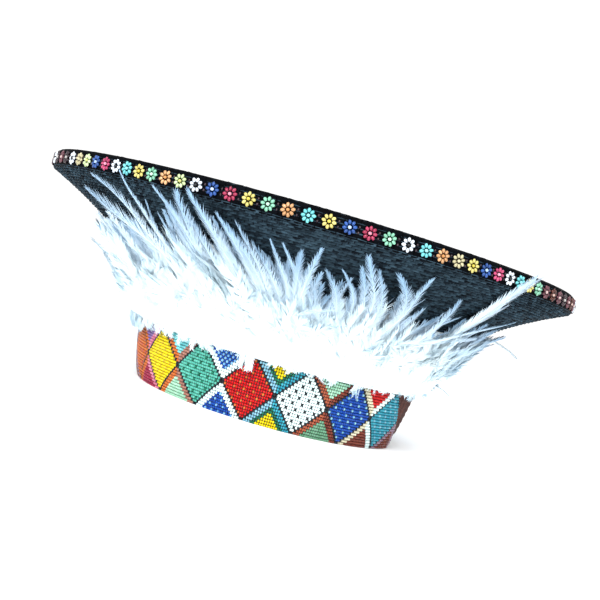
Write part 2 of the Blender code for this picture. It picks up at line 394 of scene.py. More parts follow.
def sewn_tree():
    """Sews one shape at each point: its +Z on the point's facing, its +Y along the point's run."""
    tree, given = new_tree("sewn_repeats", Shape="Object", Wobble="Float", Seed="Int",
                           Finish="Material")
    facing, along, size = (
        add(tree, "InputNamedAttribute", {"Name": mark}, data_type="FLOAT_VECTOR")
        for mark in ("facing", "along", "size"))
    upright = add(tree, "AxesToRotation", {"Primary Axis": facing, "Secondary Axis": along},
                  primary_axis="Z", secondary_axis="Y")
    least = add(tree, "Math MULTIPLY", {0: given["Wobble"], 1: -1.0})
    swing = add(tree, "RandomValue", {"Min": least, "Max": given["Wobble"],
                "Seed": given["Seed"]}, data_type="FLOAT_VECTOR")
    nudge = add(tree, "EulerToRotation", {"Euler": swing})
    turned = add(tree, "RotateRotation", {"Rotation": upright, "Rotate By": nudge},
                 rotation_space="LOCAL")
    shape = add(tree, "ObjectInfo", {"Object": given["Shape"]})
    sewn = add(tree, "InstanceOnPoints", {
        "Points": given["Geometry"], "Instance": shape.outputs["Geometry"],
        "Rotation": turned, "Scale": size})
    shade = add(tree, "RandomValue", {"Seed": given["Seed"]}, data_type="FLOAT")
    marked = add(tree, "StoreNamedAttribute", {
        "Geometry": sewn, "Name": "shade", "Value": shade}, data_type="FLOAT", domain="INSTANCE")
    close_tree(tree, marked, given["Finish"])
    return tree


def quill_tree():
    """Gives each line of points a thin three-sided quill, as wide as the points' width mark."""
    tree, given = new_tree("quills", Finish="Material")
    width = add(tree, "InputNamedAttribute", {"Name": "width"}, data_type="FLOAT")
    curve = add(tree, "MeshToCurve", {"Mesh": given["Geometry"]})
    section = add(tree, "CurvePrimitiveCircle", {"Resolution": 3, "Radius": 1.0})
    tube = add(tree, "CurveToMesh", {
        "Curve": curve, "Profile Curve": section.outputs["Curve"], "Scale": width,
        "Fill Caps": True})
    close_tree(tree, tube, given["Finish"])
    return tree


WOUND_WALL = wound_wall_tree()
SEWN = sewn_tree()
QUILLS = quill_tree()


def shape_of(name, points, faces):
    """A small shape kept out of the scene, for the sewing tree to repeat."""
    mesh = raw_mesh(name, points, faces=faces)
    return bpy.data.objects.new(name, mesh)


def spindle(name, sides, rings):
    """A closed shape round Y: rings of (place, radius), a point at each end."""
    turns = [2 * pi * k / sides for k in range(sides)]
    points = [(0, -0.5, 0)]
    for place, radius in rings:
        points += [(radius * cos(turn), place, radius * sin(turn)) for turn in turns]
    points.append((0, 0.5, 0))
    last, high = len(points) - 1, len(points) - 1 - sides
    faces = []
    for k in range(sides):
        after = (k + 1) % sides
        faces.append((0, 1 + k, 1 + after))
        faces += [(low + k, low + sides + k, low + sides + after, low + after)
                  for low in range(1, high, sides)]
        faces.append((high + k, last, high + after))
    return shape_of(name, points, faces)


def barb_shape(name, places, widths, curls, lifts):
    """A flat barb from its root along +Y: half widths, sideways curl and lift at each place."""
    points, faces = [], []
    for place, width, curl, lift in zip(places[:-1], widths, curls, lifts):
        points += [(curl - width, place, lift), (curl + width, place, lift)]
    points.append((curls[-1], places[-1], lifts[-1]))
    for k in range(len(places) - 2):
        faces.append((2 * k, 2 * k + 1, 2 * k + 3, 2 * k + 2))
    k = len(places) - 2
    faces.append((2 * k, 2 * k + 1, 2 * k + 2))
    return shape_of(name, points, faces)


STITCH = spindle("stitch_shape", 4, ((-0.3, 0.5), (0.3, 0.5)))
SEED_BEAD = spindle("seed_bead_shape", 6, ((-0.28, 0.5), (0.28, 0.5)))
ROSETTE_BEAD = spindle("rosette_bead_shape", 6, ((-0.38, 0.32), (0.0, 0.5), (0.38, 0.32)))
VANE_BARB = barb_shape("vane_barb_shape", (0, 0.6, 1), (0.5, 0.42), (0, 0.04, 0.15),
                       (0, 0.04, 0.0))
DOWN_BARB = barb_shape("down_barb_shape", (0, 0.5, 1), (0.5, 0.45), (0, 0.0, 0.26),
                       (0, 0.1, -0.08))


def wind(name, node, outline, finish, pitch=ROW_PITCH, depth=ROW_DEPTH, rounds=128,
         stitches=200.0, samples=3, closed=True):
    """Wind rows of coil round the axis along an outline of (radius, height), as one piece."""
    last = len(outline) - 1
    edges = [(k, k + 1) for k in range(last)] + ([(last, 0)] if closed else [])
    base = raw_mesh(name, [(r, 0.0, z) for r, z in outline], edges=edges)
    settle(grown(name, WOUND_WALL, base, Row_pitch=pitch, Row_depth=depth, Rounds=rounds,
                 Samples_per_row=samples, Stitches_round=stitches, Finish=finish), node)


def sew(name, node, shape, finish, places, facing, along, size, wobble, seed, **marks):
    """Sew a shape at each place, as one piece."""
    base = raw_mesh(name, places, facing=facing, along=along, size=size, **marks)
    settle(grown(name, SEWN, base, Shape=shape, Wobble=wobble, Seed=seed, Finish=finish), node)


# -------- camera and studio
# The fitted view: the focal length as a share of the picture's width, the camera's place, and in
# degrees how far it looks down and how far it is rolled.
VIEW_FOCUS = 965.4 / 600
VIEW_PLACE = (0.0035, -0.721, 0.093)
VIEW_DIP = 0.685
VIEW_ROLL = 15.994
FLOOR_REACH = 30.0
ROOM_LIGHT = 1.1
# Name, place, width and watts of each lamp.
LAMPS = (
    ("key_softbox", (-0.4, -1.5, 1.0), 1.1, 52.0),
    ("fill_softbox", (1.2, -1.1, 0.7), 1.0, 7.0),
    ("back_softbox", (0.2, 1.5, 1.3), 1.2, 14.0),
)
LIT_POINT = Vector((0, 0, 0.08))


def set_up_studio():
    """The photograph's own view: level with the hat's foot, with the hat rolled by 16 degrees."""
    scene = bpy.context.scene
    data = bpy.data.cameras.new("front_view")
    data.sensor_width = 36.0
    data.lens = data.sensor_width * VIEW_FOCUS
    camera = piece("front_view", data)
    aim = Matrix.Rotation(radians(90 - VIEW_DIP), 4, "X")
    roll = Matrix.Rotation(radians(VIEW_ROLL), 4, "Z")
    camera.matrix_world = Matrix.Translation(VIEW_PLACE) @ aim @ roll
    scene.camera = camera
    scene.view_settings.view_transform = "Standard"

    world = bpy.data.worlds.new("white_room")
    scene.world = world
    world.use_nodes = True
    sky = world.node_tree.nodes["Background"]
    sky.inputs["Color"].default_value = (1.0, 1.0, 1.0, 1.0)
    sky.inputs["Strength"].default_value = ROOM_LIGHT

    mat, tree = new_material("pale_floor", Roughness=0.9)
    here = add(tree, "TexCoord").outputs["Object"]
    grain = add(tree, "TexNoise", {"Vector": here, "Scale": 1 / FLOOR_PATCH, "Detail": 2.0})
    dress(tree, "#fbfbfb", "#ffffff", grain)
    corners = [(x * FLOOR_REACH, y * FLOOR_REACH, 0)
               for x, y in ((-1, -1), (1, -1), (1, 1), (-1, 1))]
    floor = piece("studio_floor", raw_mesh("studio_floor", corners, faces=[(0, 1, 2, 3)]))
    floor.data.materials.append(mat)

    for name, place, width, power in LAMPS:
        light = bpy.data.lights.new(name, "AREA")
        light.shape = "SQUARE"
        light.size = width
        light.energy = power
        aim = (LIT_POINT - Vector(place)).to_track_quat("-Z", "Y")
        piece(name, light).matrix_world = Matrix.Translation(place) @ aim.to_matrix().to_4x4()


# -------- black wound cotton
def rim_corner():
    """The rounded outer corner of the rim, then its inner edge."""
    turns = np.linspace(0, pi / 2, 6)
    corner = [(RIM_RADIUS - RIM_ROUND * (1 - cos(t)), RIM_TOP - RIM_ROUND * (1 - sin(t)))
              for t in turns]
    return corner + [(RIM_RADIUS - RIM_WALL, RIM_TOP)]


def evenly(outline, pitch):
    """Places every pitch along an outline: radius, height and outward direction of each."""
    walked = along_line(outline)
    rows = int(round(walked[-1] / pitch))
    at_length = (np.arange(rows) + 0.5) * walked[-1] / rows
    nearby = 0.0004
    run = read_off(at_length + nearby, walked, outline)
    run = unit(run - read_off(at_length - nearby, walked, outline))
    return (*read_off(at_length, walked, outline).T, run[:, 1], -run[:, 0])


def over_stitch(name, node, finish, rng, outline, size, sink, seed, pitch=ROW_PITCH,
                spacing=0.0052, slant=0.2):
    """Sew brick-laid stitches of a width, length and thickness over the rows of an outline."""
    width, length, thickness = size
    rows = []
    for row, (r, z, out_r, out_z) in enumerate(zip(*evenly(outline, pitch))):
        count = max(3, int(round(2 * pi * r / spacing)))
        step = 2 * pi / count
        turn = (np.arange(count) + 0.5 * (row % 2) + rng.normal(0, 0.07, count)) * step
        outward, side = around(out_r, turn, out_z), sideways(turn)
        lean = slant + rng.normal(0, 0.07, count)[:, None]
        rows.append((
            around(r, turn, z) + outward * sink, outward,
            side * np.cos(lean) + np.cross(outward, side) * np.sin(lean),
            np.stack([width * rng.uniform(0.85, 1.15, count),
                      np.minimum(length, step * r * 1.1) * rng.uniform(0.9, 1.1, count),
                      thickness * rng.uniform(0.85, 1.2, count)], axis=-1)))
    sew(name, node, STITCH, finish, *(np.concatenate(part) for part in zip(*rows)), 0.06, seed)


def make_flare(rng):
    """The black wall with its rim: wound coil, and stitches over it."""
    rim_inside = RIM_RADIUS - RIM_WALL
    ledge = RIM_TOP - CROWN_DROP - CROWN_WALL - GAP
    inner = []
    for s in np.linspace(1, 0, 60):
        (r, z), (r_on, z_on) = flare_outline(s), flare_outline(s + 0.001)
        length = hypot(r_on - r, z_on - z)
        inner.append((r - FLARE_WALL * (z_on - z) / length, z + FLARE_WALL * (r_on - r) / length))
    inner = [p for p in inner if p[0] < rim_inside - LEDGE_WIDTH - GAP and p[1] > FLARE_FOOT]
    inner.append((inner[-1][0], FLARE_FOOT))
    outline = [flare_outline(s) for s in np.linspace(0, 1, 60)] + rim_corner()
    outline += [(rim_inside, ledge), (rim_inside - LEDGE_WIDTH, ledge)] + inner
    wind("flare_wound_wall", "flare", outline, black_cotton("coil", wound=True), rounds=96)
    shown = [flare_outline(s) for s in np.linspace(0.3, 1, 80)]
    over_stitch("flare_stitches", "flare", black_cotton("stitches"), rng, shown,
                size=(0.0021, 0.0046, 0.0013), sink=0.0001, seed=3)
    # A darker edging, a little over 1 mm thick, is wound over the rim under its own stitches.
    tints = "#010102", "#0a0f15"
    face = [(r + 0.0003, z + 0.0002) for r, z in [(RIM_RADIUS, RIM_FOOT)] + rim_corner()]
    back = [(r - 0.0012, z - 0.0012) for r, z in face[::-1]]
    wind("rim_edging", "flare", face + back, black_cotton("edging", *tints, wound=True),
         depth=0.0004)
    over_stitch("rim_stitches", "flare", black_cotton("rim", *tints), rng,
                shown[-1:] + rim_corner(), size=(0.0022, 0.0058, 0.0012), sink=-0.0002, seed=5)


def make_crown(rng):
    """The dished disc that closes the hat, wound round its middle."""
    radius = RIM_RADIUS - RIM_WALL - GAP
    dished = radius - LEDGE_WIDTH
    edge = RIM_TOP - CROWN_DROP
    pitch = 0.0032
    # The crown's thread has darker colours than the flare's: painted shade, so the top, which the
    # room lights most, reads as dark as the sides.
    tints = "#090c10", "#2b3a45"
    upper = [(dished * s, edge - CROWN_DISH * (1 - s * s)) for s in np.linspace(0, 1, 30)]
    upper.append((radius, edge))
    lower = [(r, z - CROWN_WALL) for r, z in upper]
    # The outline runs out along the underside and back over the top, so it faces outwards.
    wind("crown_wound_disc", "crown_top", lower + upper[::-1],
         black_cotton("crown_coil", *tints, wound=True), pitch=pitch, rounds=60,
         stitches=120.0, closed=False)
    over_stitch("crown_stitches", "crown_top", black_cotton("crown", *tints), rng, upper[::-1],
                size=(0.0025, 0.0088, 0.0013), sink=0.0001, seed=4, pitch=pitch, spacing=0.008,
                slant=0.18)


def make_head_ring():
    """The brown base ring, with a rounded hem."""
    lip = 0.0012  # how far the rounded hem hangs below its sides
    levels = np.linspace(HEM_RISE + lip, RING_TOP, 14)
    outside = [(ring_outside(z), z) for z in levels]
    inside = [(r - RING_WALL, z) for r, z in outside[::-1]]
    middle = (outside[0][0] + inside[-1][0]) / 2
    turns = np.linspace(pi, 2 * pi, 7)[1:-1]
    hem = [(middle + RING_WALL / 2 * cos(t), levels[0] + lip * sin(t)) for t in turns]
    wind("head_ring_wound", "head_ring", outside + inside + hem, brown_cotton(), pitch=0.0045,
         depth=0.0005, stitches=360.0, samples=5)


# -------- beadwork
# Each glass: its darkest and its lightest beads.
GLASS = {
    "white": ("#b9ced0", "#d8e8e5"),
    "cream": ("#afaa8e", "#cbc5ad"),
    "yellow": ("#c0a100", "#d7c90e"),
    "ochre": ("#8f8410", "#bb9d14"),
    "orange": ("#a24417", "#c26f2f"),
    "red": ("#920309", "#c11210"),
    "crimson": ("#700a2b", "#9c2546"),
    "brown": ("#481b19", "#7e3b29"),
    "mauve": ("#715668", "#977e8f"),
    "clay": ("#7a4c40", "#a97a6a"),
    "purple": ("#583d79", "#80659e"),
    "green": ("#2e8776", "#5fb2a1"),
    "leaf": ("#437c58", "#739b84"),
    "mint": ("#6fa78a", "#a8cdb6"),
    "rust": ("#6f2e22", "#a3583b"),
    "forest": ("#094b38", "#196b50"),
    "turquoise": ("#0c6a82", "#3a9aaa"),
    "aqua": ("#41a0a8", "#86cfd0"),
    "sky": ("#4d88a4", "#88b5c1"),
    "blue": ("#052979", "#144da4"),
    "pale_blue": ("#3d7cb4", "#83b4dc"),
    "black": ("#080d12", "#1d272d"),
    "pink": ("#a94968", "#cb879b"),
}

# The strip's cells from its front end at the right towards the left, with 22 columns and 22 rows
# each: the diamond's fill and dots, the two lines that cross on its right, and the triangles
# above and below that crossing.
CELLS = (
    ("turquoise", "sky", "mauve", "mauve", "mauve", "brown"),
    ("blue", "sky", "cream", "white", "red", "brown"),
    ("white", "black", "rust", "brown", "mint", "leaf"),
    ("red", "orange", "sky", "turquoise", "yellow", "yellow"),
    ("green", "forest", "white", "white", "blue", "blue"),
    ("yellow", "ochre", "orange", "clay", "aqua", "mint"),
    ("orange", "crimson", "orange", "pink", "purple", "crimson"),
)
CELL_COLUMNS = 22
CELL_ROWS = 22
CELL_TURN = radians(20)
FIRST_CELL = radians(62.7)
CELL_COUNT = 16
COLUMNS_BEFORE = 10  # columns of beads between the strip's end and its first cell
# How many beads from a diamond's middle its fill, its black outline, the crossing line, that
# line's edge and the dark edge of a yellow triangle reach.
FILL_REACH, OUTLINE_REACH, LINE_REACH, EDGE_REACH, GREEN_REACH = 10.4, 11.6, 14.2, 15, 16.4
BEAD_SINK = 0.0009
BEAD_HEIGHT = 0.0019
CLOTH = 0.0012


def bead_colour(column, row):
    """Colour of the bead at a column from the front end (negative past the first cell)."""
    cell = column // CELL_COLUMNS
    across = column - cell * CELL_COLUMNS - (CELL_COLUMNS - 1) / 2
    up = row - (CELL_ROWS - 1) / 2
    away = abs(across) + abs(up)
    fill, dots = CELLS[cell % len(CELLS)][:2] if cell >= 0 else ("brown", "brown")
    # Lines and triangles between two cells belong to the cell on the left of the crossing.
    owner = max(0, cell if across < 0 else cell + 1)
    near, far, top, bottom = CELLS[owner % len(CELLS)][2:]
    line = near if across < 0 else far
    triangle = top if up > 0 else bottom
    if away < FILL_REACH:
        return dots if row % 2 == 0 and (column + row) % 4 == 0 else fill
    if away < OUTLINE_REACH or (away < EDGE_REACH and away >= LINE_REACH
                                and fill in ("red", "green")):
        return "black"
    if away < EDGE_REACH:
        return line
    if triangle == "yellow" and away < GREEN_REACH:
        return "forest"
    # Blue triangles have paler beads: every second one above, scattered ones below.
    dotted = (column + row) % 2 == 0 if up > 0 else row % 2 == 0 and (column + row) % 3 == 0
    return "pale_blue" if triangle == "blue" and dotted else triangle


def strip_edge(height):
    """The angle of the slanted front end at a height."""
    middle = strip_outside(STRIP_TOP / 2)
    return STRIP_END + STRIP_SLANT / middle * (0.5 - height / STRIP_TOP)


def make_bead_strip(rng):
    """The strip's backing cloth, then its beads, charted as a row of diamonds."""
    whole = 2 * pi - STRIP_OPENING / strip_outside(STRIP_TOP / 2)
    far_end = STRIP_END - whole

    # Backing cloth: a thin closed shell under the beads.
    outer = [(strip_outside(z) - STRIP_WALL + CLOTH, z) for z in np.linspace(0, STRIP_TOP, 9)]
    radius, height = np.array(outer + [(r - CLOTH, z) for r, z in outer[::-1]]).T
    steps, n = 128, len(radius)
    loops = []
    for share in np.arange(steps + 1) / steps:
        end = STRIP_END + (strip_edge(height) - STRIP_END) * share
        loops.append(around(radius, end - whole * (1 - share), height))
    faces = [(a, c, d, b) for a, b, c, d in quads(steps + 1, n)]
    faces += [tuple(range(n)), tuple(steps * n + j for j in reversed(range(n)))]
    mesh = raw_mesh("strip_backing", np.concatenate(loops), faces=faces)
    mesh.materials.append(backing_cloth())
    settle(piece("strip_backing", mesh), "bead_strip")

    # Beads in upright columns, one piece for each colour of glass.
    column_turn = CELL_TURN / CELL_COLUMNS
    row_height = STRIP_TOP / CELL_ROWS
    by_colour = {}
    for column in range(-COLUMNS_BEFORE, CELL_COUNT * CELL_COLUMNS):
        angle = FIRST_CELL - (column + 0.5) * column_turn
        share = min((angle - far_end) / whole, 1)
        for row in range(CELL_ROWS):
            z = (row + 0.5) * row_height
            end = STRIP_END + (strip_edge(z) - STRIP_END) * share - column_turn / 2
            if far_end <= angle <= end:
                by_colour.setdefault(bead_colour(column, row), []).append((angle, z))
    low, high = 0.004, 0.04  # the beads lean as the strip does between these heights
    slope = atan2(strip_outside(high) - strip_outside(low), high - low)
    for seed, (colour, spots) in enumerate(sorted(by_colour.items()), 10):
        angle, z = np.array(spots).T
        count = len(spots)
        angle = angle + rng.normal(0, 0.0006, count)
        r = strip_outside(z) - BEAD_SINK + rng.normal(0, 0.00006, count)
        size = np.stack(np.broadcast_arrays(
            row_height * 0.98, column_turn * r * 0.99, BEAD_HEIGHT), axis=-1)
        size = size * rng.uniform(0.94, 1.05, (count, 1))
        if colour == "white":
            size[:, :2] *= 1.07  # the white beads are the plumpest, and hide the thread
        sew("strip_beads_" + colour, "bead_strip", SEED_BEAD,
            strung_glass(colour, *GLASS[colour]), around(r, angle, z),
            around(cos(slope), angle, -sin(slope)), sideways(angle), size, 0.07, seed)


# One letter for each rosette from the left side round the front to the right; the back repeats it.
ROSETTES = "kvkvkvkwkvkwclbmwtygolwbrygotybrgwtocybmwtygvnvkvnvwkvnk"
# Each letter's rosette: its name, then the darkest and lightest of its petals and of its heart.
# These beads are smaller, paler and more washed out than the strip's.
# On the dark rosettes (k, v, n, b, r, m) the heart is a real bead, but its pale colour is painted
# highlight: it stands in for the glint at the rosette's middle.
ROSETTE_GLASS = {
    "w": ("white", ("#9ea6ae", "#cdd3dc"), ("#080a0e", "#171d24")),
    "y": ("yellow", ("#8f8540", "#beb571"), ("#938325", "#baac4c")),
    "g": ("green", ("#4a7a64", "#7bb49a"), ("#7bac93", "#acd0ba")),
    "r": ("red", ("#62162a", "#a03857"), ("#b0546c", "#d393a2")),
    "b": ("blue", ("#142a50", "#2c5297"), ("#7490ba", "#b0c2da")),
    "o": ("orange", ("#8a633f", "#c09870"), ("#835427", "#b38050")),
    "t": ("turquoise", ("#3a828b", "#6cb9bb"), ("#57a2ac", "#93c9cc")),
    "m": ("crimson", ("#711a3a", "#aa4468"), ("#b76985", "#d39bac")),
    "l": ("lime", ("#849361", "#b6c8a0"), ("#858945", "#b0b370")),
    "c": ("cream", ("#857e5f", "#aba586"), ("#979070", "#bab397")),
    "k": ("black", ("#191116", "#372a30"), ("#7b7775", "#aca9a5")),
    "v": ("plum", ("#351923", "#623b42"), ("#937777", "#bea9a5")),
    "n": ("brown", ("#301410", "#553028"), ("#8c6c64", "#b39b92")),
}
ROSETTE_COUNT = 112
ROSETTE_PITCH = 2 * pi / ROSETTE_COUNT
ROSETTE_PHASE = radians(-1.1)
ROSETTE_LIFT = 0.0009  # above the middle of the rim's upright face
ROSETTE_DRIFT = radians(0.9)
PETAL_REACH = 0.0029
SPACER_RISE = 0.0016  # up and down from the middle of the row
# Width, length and thickness of the rosettes' beads, and how far they stand off the rim.
PETAL, PETAL_STAND = (0.0022, 0.0027, 0.0018), 0.0011
HEART, HEART_STAND = (0.0022, 0.0022, 0.0022), 0.0013
SPACER, SPACER_STAND = (0.0014, 0.0016, 0.0013), 0.0006


def make_rosettes(rng):
    """Rosettes of eight petal beads round a heart bead, with small beads between them."""
    height = RIM_FOOT + (RIM_HEIGHT - RIM_ROUND) / 2 + ROSETTE_LIFT
    groups = {}
    for k in range(ROSETTE_COUNT):
        # The left side's first rosette is a quarter turn before the front.
        letter = ROSETTES[(k + ROSETTE_COUNT // 4) % len(ROSETTES)]
        petals, hearts, spacers = (groups.setdefault(key, [])
                                   for key in ((letter, 0), (letter, 1), ("k", 0)))
        middle = ROSETTE_PHASE + k * ROSETTE_PITCH
        # Sewn by hand: the row is drawn a little wider apart at the front.
        middle += ROSETTE_DRIFT * sin(5 * (middle - radians(3)))
        start = rng.uniform(0, 0.8)
        for petal in range(8):
            turn = start + petal * pi / 4
            reach = PETAL_REACH + rng.normal(0, 0.0001)
            way = cos(turn), sin(turn)
            petals.append((middle, reach * way[0], reach * way[1], PETAL_STAND, *way, *PETAL))
        hearts.append((middle, 0, 0, HEART_STAND, 1.0, 0.0, *HEART))
        for up in (-SPACER_RISE, SPACER_RISE):
            spacers.append((middle + ROSETTE_PITCH / 2, 0, up, SPACER_STAND, 0.0, 1.0, *SPACER))
    top = np.array([0.0, 0.0, 1.0])
    for seed, ((letter, part), beads) in enumerate(sorted(groups.items()), 40):
        beads = np.array(beads)
        angle, aside, up, stand, run_side, run_up = beads.T[:6, :, None]
        out, side = around(1.0, angle[:, 0], 0.0), sideways(angle[:, 0])
        places = around(RIM_RADIUS, angle[:, 0], height) + out * stand + side * aside + top * up
        colour, *tints = ROSETTE_GLASS[letter]
        name = "rosette_" + colour + ("_petals", "_hearts")[part]
        sew(name, "rosette_chain", ROSETTE_BEAD, strung_glass(name, *tints[part]), places, out,
            side * run_side + top * run_up, beads[:, 6:], 0.1, seed)


# -------- feathers
def wall_table():
    """The line that feathers lie over: strip, flare and rim, with its outward direction."""
    lowest_down = 0.028
    line = [(strip_outside(z), z) for z in np.linspace(lowest_down, STRIP_TOP, 12)]
    line += [flare_outline(s) for s in np.linspace(0.02, 1, 80)]
    # Past the rim's foot it runs on outwards, clear of the rosettes.
    line += [(RIM_RADIUS + 0.003 * k, RIM_FOOT + 0.0035 * k) for k in range(1, 6)]
    line = np.array(line)
    run = np.gradient(line, axis=0)
    out = unit(np.stack([run[:, 1], -run[:, 0]], axis=-1))
    kernel = np.hanning(9) / np.hanning(9).sum()
    padded = np.pad(out, ((4, 4), (0, 0)), mode="edge")
    out = unit(np.stack([np.convolve(padded[:, k], kernel, "valid") for k in (0, 1)], axis=-1))
    return (line[:, 1] - FLARE_FOOT) / FLARE_RISE, line, out


WALL_SHARES, WALL_LINE, WALL_OUT = wall_table()


def off_wall(share, angle, stand):
    """Points at a share of the flare's rise, stood off the wall, and their outward directions."""
    share, angle, stand = np.broadcast_arrays(share, angle, stand)
    r, z = np.moveaxis(read_off(share, WALL_SHARES, WALL_LINE), -1, 0)
    out_r, out_z = np.moveaxis(read_off(share, WALL_SHARES, WALL_OUT), -1, 0)
    return around(r + stand * out_r, angle, z + stand * out_z), around(out_r, angle, out_z)


def share_at(height, stand):
    """The share of the rise whose point, stood off the wall, comes to a height."""
    height, stand = np.broadcast_arrays(np.asarray(height, float), np.asarray(stand, float))
    found = [np.interp(h, WALL_LINE[:, 1] + o * WALL_OUT[:, 1], WALL_SHARES)
             for h, o in zip(height.ravel(), stand.ravel())]
    return np.reshape(found, height.shape)


# Rise of the feather tips at angles from the left side round the front; the back mirrors them.
TIP_ANGLES = (-90, -75, -60, -50, -42, -36, -30, -24, -20, -14, -8, 0, 6, 14, 22, 30, 38, 48, 60,
              72, 90)
TIP_RISES = (.62, .66, .72, .73, .74, .68, .80, .94, .90, .82, .76, .79, .69, .80, .76, .71, .70,
             .72, .69, .64, .60)


def tip_rise(angle):
    """The share of the flare's rise that feather tips reach at an angle from the front."""
    turned = np.degrees(np.arctan2(np.sin(angle), np.abs(np.cos(angle))))
    return np.interp(turned, TIP_ANGLES, TIP_RISES)


def fullness(angle):
    """How far the feathers stand out: most at the left side, least at the right."""
    return 0.78 - 0.15 * np.sin(angle) - 0.08 * np.sin(angle) ** 2


def walk(path, spacing, start):
    """Points every spacing along a path from a share of its length on, with directions."""
    walked = along_line(path)
    count = max(2, int(round(walked[-1] * (1 - start) / spacing)))
    share = start + (1 - start) * (np.arange(count) + 0.5) / count
    spots = share * walked[-1]
    way = unit(read_off(spots, walked, np.gradient(path, axis=0)))
    return share, read_off(spots, walked, path), way


def smooth_step(value):
    """From 0 to 1 with soft ends, and level outside them."""
    value = np.clip(value, 0, 1)
    return value * value * (3 - 2 * value)


def stand_off(steps, root, crest, end, crest_at):
    """How far a feather stands off the wall along itself: out to a crest, then back in."""
    t = np.linspace(0, 1, steps)
    rising = root + (crest - root) * smooth_step(t / crest_at)
    falling = crest + (end - crest) * smooth_step((t - crest_at) / (1 - crest_at))
    return np.where(t < crest_at, rising, falling)


def scattered(rng, count):
    """Angles all round the hat: one at random in each of count equal parts."""
    for k in range(count):
        yield 2 * pi * (k + rng.uniform(0, 1)) / count


# Kinds of feather. Reach gives a barb's length at a share of the quill, spacing and start say how
# close the barbs are and where the first ones sit, splay is their turn away from the quill at its
# root and tip, roof how far the two sides slope down from it, and uneven how much barbs differ.
PLUME = {"reach": lambda share: 0.017 - 0.0075 * share, "spacing": 0.00095, "start": 0.06,
         "width": 0.0008, "splay": (0.7, 0.35), "curl": 0.6, "quill": 0.0003, "uneven": 0.8}
TUFT = {"reach": lambda share: 0.0042 * (1 - 0.3 * share), "spacing": 0.0008, "start": 0.05,
        "width": 0.0004, "splay": (1.1, 0.6), "curl": 0.8, "quill": 0.00015}
HACKLE = {"spacing": 0.0012, "start": 0.2, "width": 0.0006, "splay": (0.55, 0.3), "curl": 0.25,
          "quill": 0.0004, "uneven": 0.95}
CLEAR = {"spacing": 0.0007, "start": 0.15, "width": 0.00038, "splay": (0.6, 0.36), "curl": 0.2,
         "quill": 0.0004, "roof": 0.3, "uneven": 1.2}
# The long feather's fade takes a little less of the painted tip shade.
LONG = {"spacing": 0.0006, "start": 0.1, "width": 0.0006, "splay": (0.36, 0.34), "curl": 0.1,
        "quill": 0.0006, "roof": 0.2, "uneven": 0.6, "fade": 0.7}
LOOSE = {"reach": lambda share: 0.007 * (1.1 - share), "spacing": 0.0024, "start": 0.4,
         "width": 0.0005, "splay": (0.8, 0.4), "curl": 0.8, "quill": 0.00025}


class Plumage:
    """Gathers the quills and barbs of one layer of feathers, then makes them two pieces."""

    def __init__(self, rng):
        self.rng = rng
        self.barbs, self.quills, self.quill_edges = [], [], []

    def shaft(self, path, quill, thinned=0.85, fade=0.8):
        """Lay a bare quill that thins towards its tip, and by fade turns to the tip colour:
        painted shade.
        """
        first, last = len(self.quills), len(path) - 1
        for k, point in enumerate(path):
            share = k / last
            self.quills.append((point, quill * (1 - thinned * share), fade * share))
        self.quill_edges += [(k, k + 1) for k in range(first, first + last)]

    def feather(self, path, outward, twist, reach, spacing, start, width, splay, curl, quill,
                roof=0.25, uneven=1.0, fade=1.0):
        """Lay one feather of a kind along a path, with its vane twisted about its quill. Fade is
        how far it turns to the tip's colour, which is painted shade."""
        rng = self.rng
        self.shaft(path, quill)
        share, spot, way = walk(path, spacing, start)
        count = len(share)
        out = outward[np.round(share * (len(path) - 1)).astype(int)]
        out = unit(out - way * np.sum(out * way, axis=-1, keepdims=True))
        side = np.cross(way, out)
        out, side = (out * cos(twist) + side * sin(twist), side * cos(twist) - out * sin(twist))
        length = reach(share)
        for hand in (1, -1):
            turn = splay[0] + (splay[1] - splay[0]) * share
            turn = (turn + rng.normal(0, 0.09 * uneven, count))[:, None]
            lift = rng.normal(0, 0.12 * uneven, count)[:, None]
            outer = -hand * side * cos(roof) - out * sin(roof)
            face = out * cos(roof) - hand * side * sin(roof)
            along = unit(way * np.cos(turn) + outer * np.sin(turn) + face * lift)
            places = spot + way * (rng.uniform(-0.3, 0.3, count)[:, None] * spacing)
            long = length * (1 + uneven * rng.uniform(-0.18, 0.1, count))
            size = np.stack([width * rng.uniform(0.8, 1.2, count), long,
                             long * curl * rng.uniform(0.3, 1.4, count)], axis=-1)
            self.barbs.append((places, hand * face, along, size, share * fade))

    def rise(self, root, tip, angle, lean, stand, twist, bend=1, **kind):
        """Lay a feather over the wall between two shares of its rise, leaning aside."""
        t = np.linspace(0, 1, len(stand))
        path, out = off_wall(root + (tip - root) * t, angle + lean * t**bend, stand)
        self.feather(path, out, twist, **kind)

    def make(self, name, shape, finish, seed):
        """Make all the barbs one piece and all the quills another."""
        *barbs, tipward = (np.concatenate(part) for part in zip(*self.barbs))
        sew(name, "feather_trim", shape, finish, *barbs, 0.05, seed, tipward=tipward)
        points, widths, fades = zip(*self.quills)
        base = raw_mesh(name + "_quills", points, edges=self.quill_edges, width=widths,
                        tipward=fades)
        settle(grown(name + "_quills", QUILLS, base, Finish=finish), "feather_trim")


